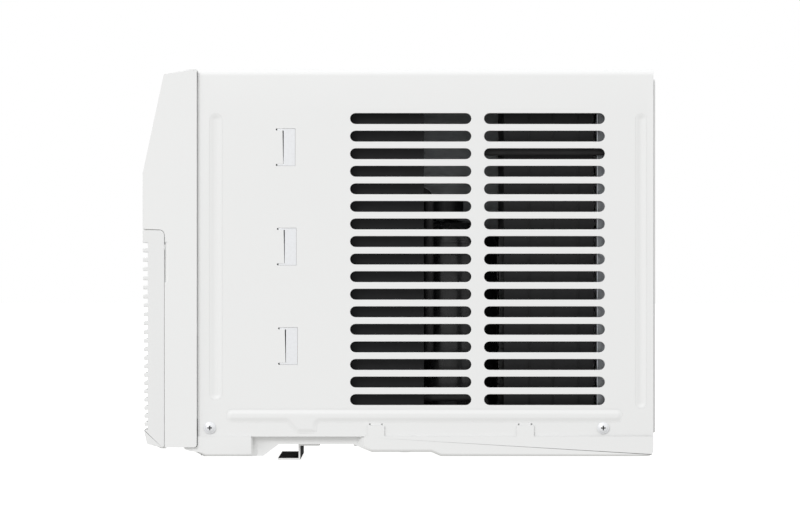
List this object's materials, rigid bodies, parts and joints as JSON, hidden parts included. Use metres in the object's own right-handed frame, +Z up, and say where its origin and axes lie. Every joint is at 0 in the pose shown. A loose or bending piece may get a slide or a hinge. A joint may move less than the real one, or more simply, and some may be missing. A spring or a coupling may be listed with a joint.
{
  "type": "window air conditioner",
  "caption": "White room air conditioner for a window, with a louvred steel cabinet, vaned outlet in a sloped front, tilting inlet grille, push buttons and a full refrigeration circuit.",
  "frame": {"origin": "middle of the footprint, level with the underside of the sill brackets", "axes": "+Z up; the room side faces -Y and the outdoor side +Y; X runs across the width, +X to the right of someone in the room who faces the unit"},
  "size_m": [0.498, 0.498, 0.3801],
  "materials": {
    "white_paint": "satin powder coat with fine orange peel",
    "frame_plastic": "moulded, fine spark texture",
    "panel_plastic": "satin overlay",
    "button_plastic": "satin",
    "grille_plastic": "moulded, fine spark texture",
    "smoked_lens": "polished",
    "filter_mesh": "moulded frame with fine mesh",
    "circuit_board": "solder resist",
    "zinc_screw": "bright zinc",
    "coil_fins": "mill finish",
    "galvanised_sheet": "galvanised",
    "dark_sheet": "flat dark coating",
    "pipe_foam": "closed-cell insulation over copper tube",
    "casing_plastic": "moulded",
    "fan_plastic": "moulded",
    "bright_steel": "ground",
    "motor_steel": "passivated",
    "black_paint": "semi-gloss",
    "black_plastic": "moulded",
    "black_rubber": "moulded",
    "copper": "drawn copper, lightly tarnished",
    "capacitor_can": "drawn can"
  },
  "bodies": {
    "chassis": {"cabinet": "white_paint", "rear_guard": "white_paint", "base_pan": "white_paint", "sill_bracket_right": "white_paint", "sill_bracket_left": "white_paint", "front_frame": "frame_plastic", "outlet_duct": "frame_plastic", "control_panel": "panel_plastic", "display_window": "smoked_lens", "control_board": "circuit_board", "front_screw_right": "zinc_screw", "rear_screw_right": "zinc_screw", "front_screw_left": "zinc_screw", "rear_screw_left": "zinc_screw", "evaporator_coil": "coil_fins", "condenser_coil": "coil_fins", "evaporator_plate_left": "galvanised_sheet", "evaporator_plate_right": "galvanised_sheet", "condenser_plate_left": "galvanised_sheet", "condenser_plate_right": "galvanised_sheet", "motor_bracket": "galvanised_sheet", "control_box": "galvanised_sheet", "bulkhead": "dark_sheet", "scroll_casing": "casing_plastic", "fan_shroud": "fan_plastic", "fan_motor": "motor_steel", "compressor": "black_paint", "accumulator": "black_paint", "terminal_cover": "black_plastic", "compressor_grommet_1": "black_rubber", "compressor_grommet_2": "black_rubber", "compressor_grommet_3": "black_rubber", "cord_gland": "black_rubber", "filter_drier": "copper", "capillary_tube": "copper", "suction_line": "pipe_foam", "discharge_line": "pipe_foam", "liquid_line": "pipe_foam", "run_capacitor": "capacitor_can"},
    "inlet_grille": {"inlet_grille": "grille_plastic"},
    "air_filter": {"air_filter": "filter_mesh"},
    "rotor": {"condenser_fan": "fan_plastic", "blower_wheel": "fan_plastic", "motor_shaft": "bright_steel"},
    "deflector_link": {"deflector_link": "frame_plastic"},
    "power_button": {"power_button": "button_plastic"},
    "mode_button": {"mode_button": "button_plastic"},
    "fan_speed_button": {"fan_speed_button": "button_plastic"},
    "temperature_down_button": {"temperature_down_button": "button_plastic"},
    "temperature_up_button": {"temperature_up_button": "button_plastic"},
    "timer_button": {"timer_button": "button_plastic"},
    "deflector_1": {"deflector_1": "frame_plastic"},
    "deflector_2": {"deflector_2": "frame_plastic"},
    "deflector_3": {"deflector_3": "frame_plastic"},
    "deflector_4": {"deflector_4": "frame_plastic"},
    "deflector_5": {"deflector_5": "frame_plastic"},
    "deflector_6": {"deflector_6": "frame_plastic"},
    "lower_outlet_vane": {"lower_outlet_vane": "frame_plastic"},
    "middle_outlet_vane": {"middle_outlet_vane": "frame_plastic"},
    "upper_outlet_vane": {"upper_outlet_vane": "frame_plastic"}
  },
  "joints": [
    {"name": "grille_hinge", "type": "hinge", "parent": "chassis", "child": "inlet_grille", "pos_m": [0, -0.231, 0.0151], "axis": [1, 0, 0], "range_deg": [0, 50]},
    {"name": "filter_slide", "type": "slide", "parent": "chassis", "child": "air_filter", "axis": [0, 0, 1], "range_m": [0, 0.008]},
    {"name": "fan_spin", "type": "hinge", "parent": "chassis", "child": "rotor", "pos_m": [-0.045, 0, 0.162], "axis": [0, 1, 0], "continuous": true},
    {"name": "lower_vane_tilt", "type": "hinge", "parent": "chassis", "child": "lower_outlet_vane", "pos_m": [0, -0.23493, 0.29952], "axis": [1, 0, 0], "range_deg": [-25, 25]},
    {"name": "middle_vane_tilt", "type": "hinge", "parent": "chassis", "child": "middle_outlet_vane", "pos_m": [0, -0.23056, 0.32006], "axis": [1, 0, 0], "range_deg": [-25, 25]},
    {"name": "upper_vane_tilt", "type": "hinge", "parent": "chassis", "child": "upper_outlet_vane", "pos_m": [0, -0.22619, 0.3406], "axis": [1, 0, 0], "range_deg": [-25, 25]},
    {"name": "deflector_1_swing", "type": "hinge", "parent": "chassis", "child": "deflector_1", "pos_m": [-0.16, -0.22112, 0.27308], "axis": [0, 0.2079, 0.9781], "range_deg": [-35, 35]},
    {"name": "deflector_2_swing", "type": "hinge", "parent": "chassis", "child": "deflector_2", "pos_m": [-0.096, -0.22112, 0.27308], "axis": [0, 0.2079, 0.9781], "range_deg": [-35, 35]},
    {"name": "deflector_3_swing", "type": "hinge", "parent": "chassis", "child": "deflector_3", "pos_m": [-0.032, -0.22112, 0.27308], "axis": [0, 0.2079, 0.9781], "range_deg": [-35, 35]},
    {"name": "deflector_4_swing", "type": "hinge", "parent": "chassis", "child": "deflector_4", "pos_m": [0.032, -0.22112, 0.27308], "axis": [0, 0.2079, 0.9781], "range_deg": [-35, 35]},
    {"name": "deflector_5_swing", "type": "hinge", "parent": "chassis", "child": "deflector_5", "pos_m": [0.096, -0.22112, 0.27308], "axis": [0, 0.2079, 0.9781], "range_deg": [-35, 35]},
    {"name": "deflector_6_swing", "type": "hinge", "parent": "chassis", "child": "deflector_6", "pos_m": [0.16, -0.22112, 0.27308], "axis": [0, 0.2079, 0.9781], "range_deg": [-35, 35]},
    {"name": "deflector_link_slide", "type": "slide", "parent": "chassis", "child": "deflector_link", "axis": [1, 0, 0], "range_m": [-0.0042, 0.0042]},
    {"name": "power_press", "type": "slide", "parent": "chassis", "child": "power_button", "axis": [0, 1, 0], "range_m": [0, 0.0008], "stiffness_N_per_m": 600},
    {"name": "mode_press", "type": "slide", "parent": "chassis", "child": "mode_button", "axis": [0, 1, 0], "range_m": [0, 0.0008], "stiffness_N_per_m": 600},
    {"name": "fan_speed_press", "type": "slide", "parent": "chassis", "child": "fan_speed_button", "axis": [0, 1, 0], "range_m": [0, 0.0008], "stiffness_N_per_m": 600},
    {"name": "temperature_down_press", "type": "slide", "parent": "chassis", "child": "temperature_down_button", "axis": [0, 1, 0], "range_m": [0, 0.0008], "stiffness_N_per_m": 600},
    {"name": "temperature_up_press", "type": "slide", "parent": "chassis", "child": "temperature_up_button", "axis": [0, 1, 0], "range_m": [0, 0.0008], "stiffness_N_per_m": 600},
    {"name": "timer_press", "type": "slide", "parent": "chassis", "child": "timer_button", "axis": [0, 1, 0], "range_m": [0, 0.0008], "stiffness_N_per_m": 600}
  ],
  "couplings": [
    {"joint": "lower_vane_tilt", "follows": "middle_vane_tilt", "ratio": 1},
    {"joint": "upper_vane_tilt", "follows": "middle_vane_tilt", "ratio": 1},
    {"joint": "deflector_1_swing", "follows": "deflector_3_swing", "ratio": 1},
    {"joint": "deflector_2_swing", "follows": "deflector_3_swing", "ratio": 1},
    {"joint": "deflector_4_swing", "follows": "deflector_3_swing", "ratio": 1},
    {"joint": "deflector_5_swing", "follows": "deflector_3_swing", "ratio": 1},
    {"joint": "deflector_6_swing", "follows": "deflector_3_swing", "ratio": 1},
    {"joint": "deflector_link_slide", "follows": "deflector_3_swing", "m_per_rad": -0.00657}
  ]
}
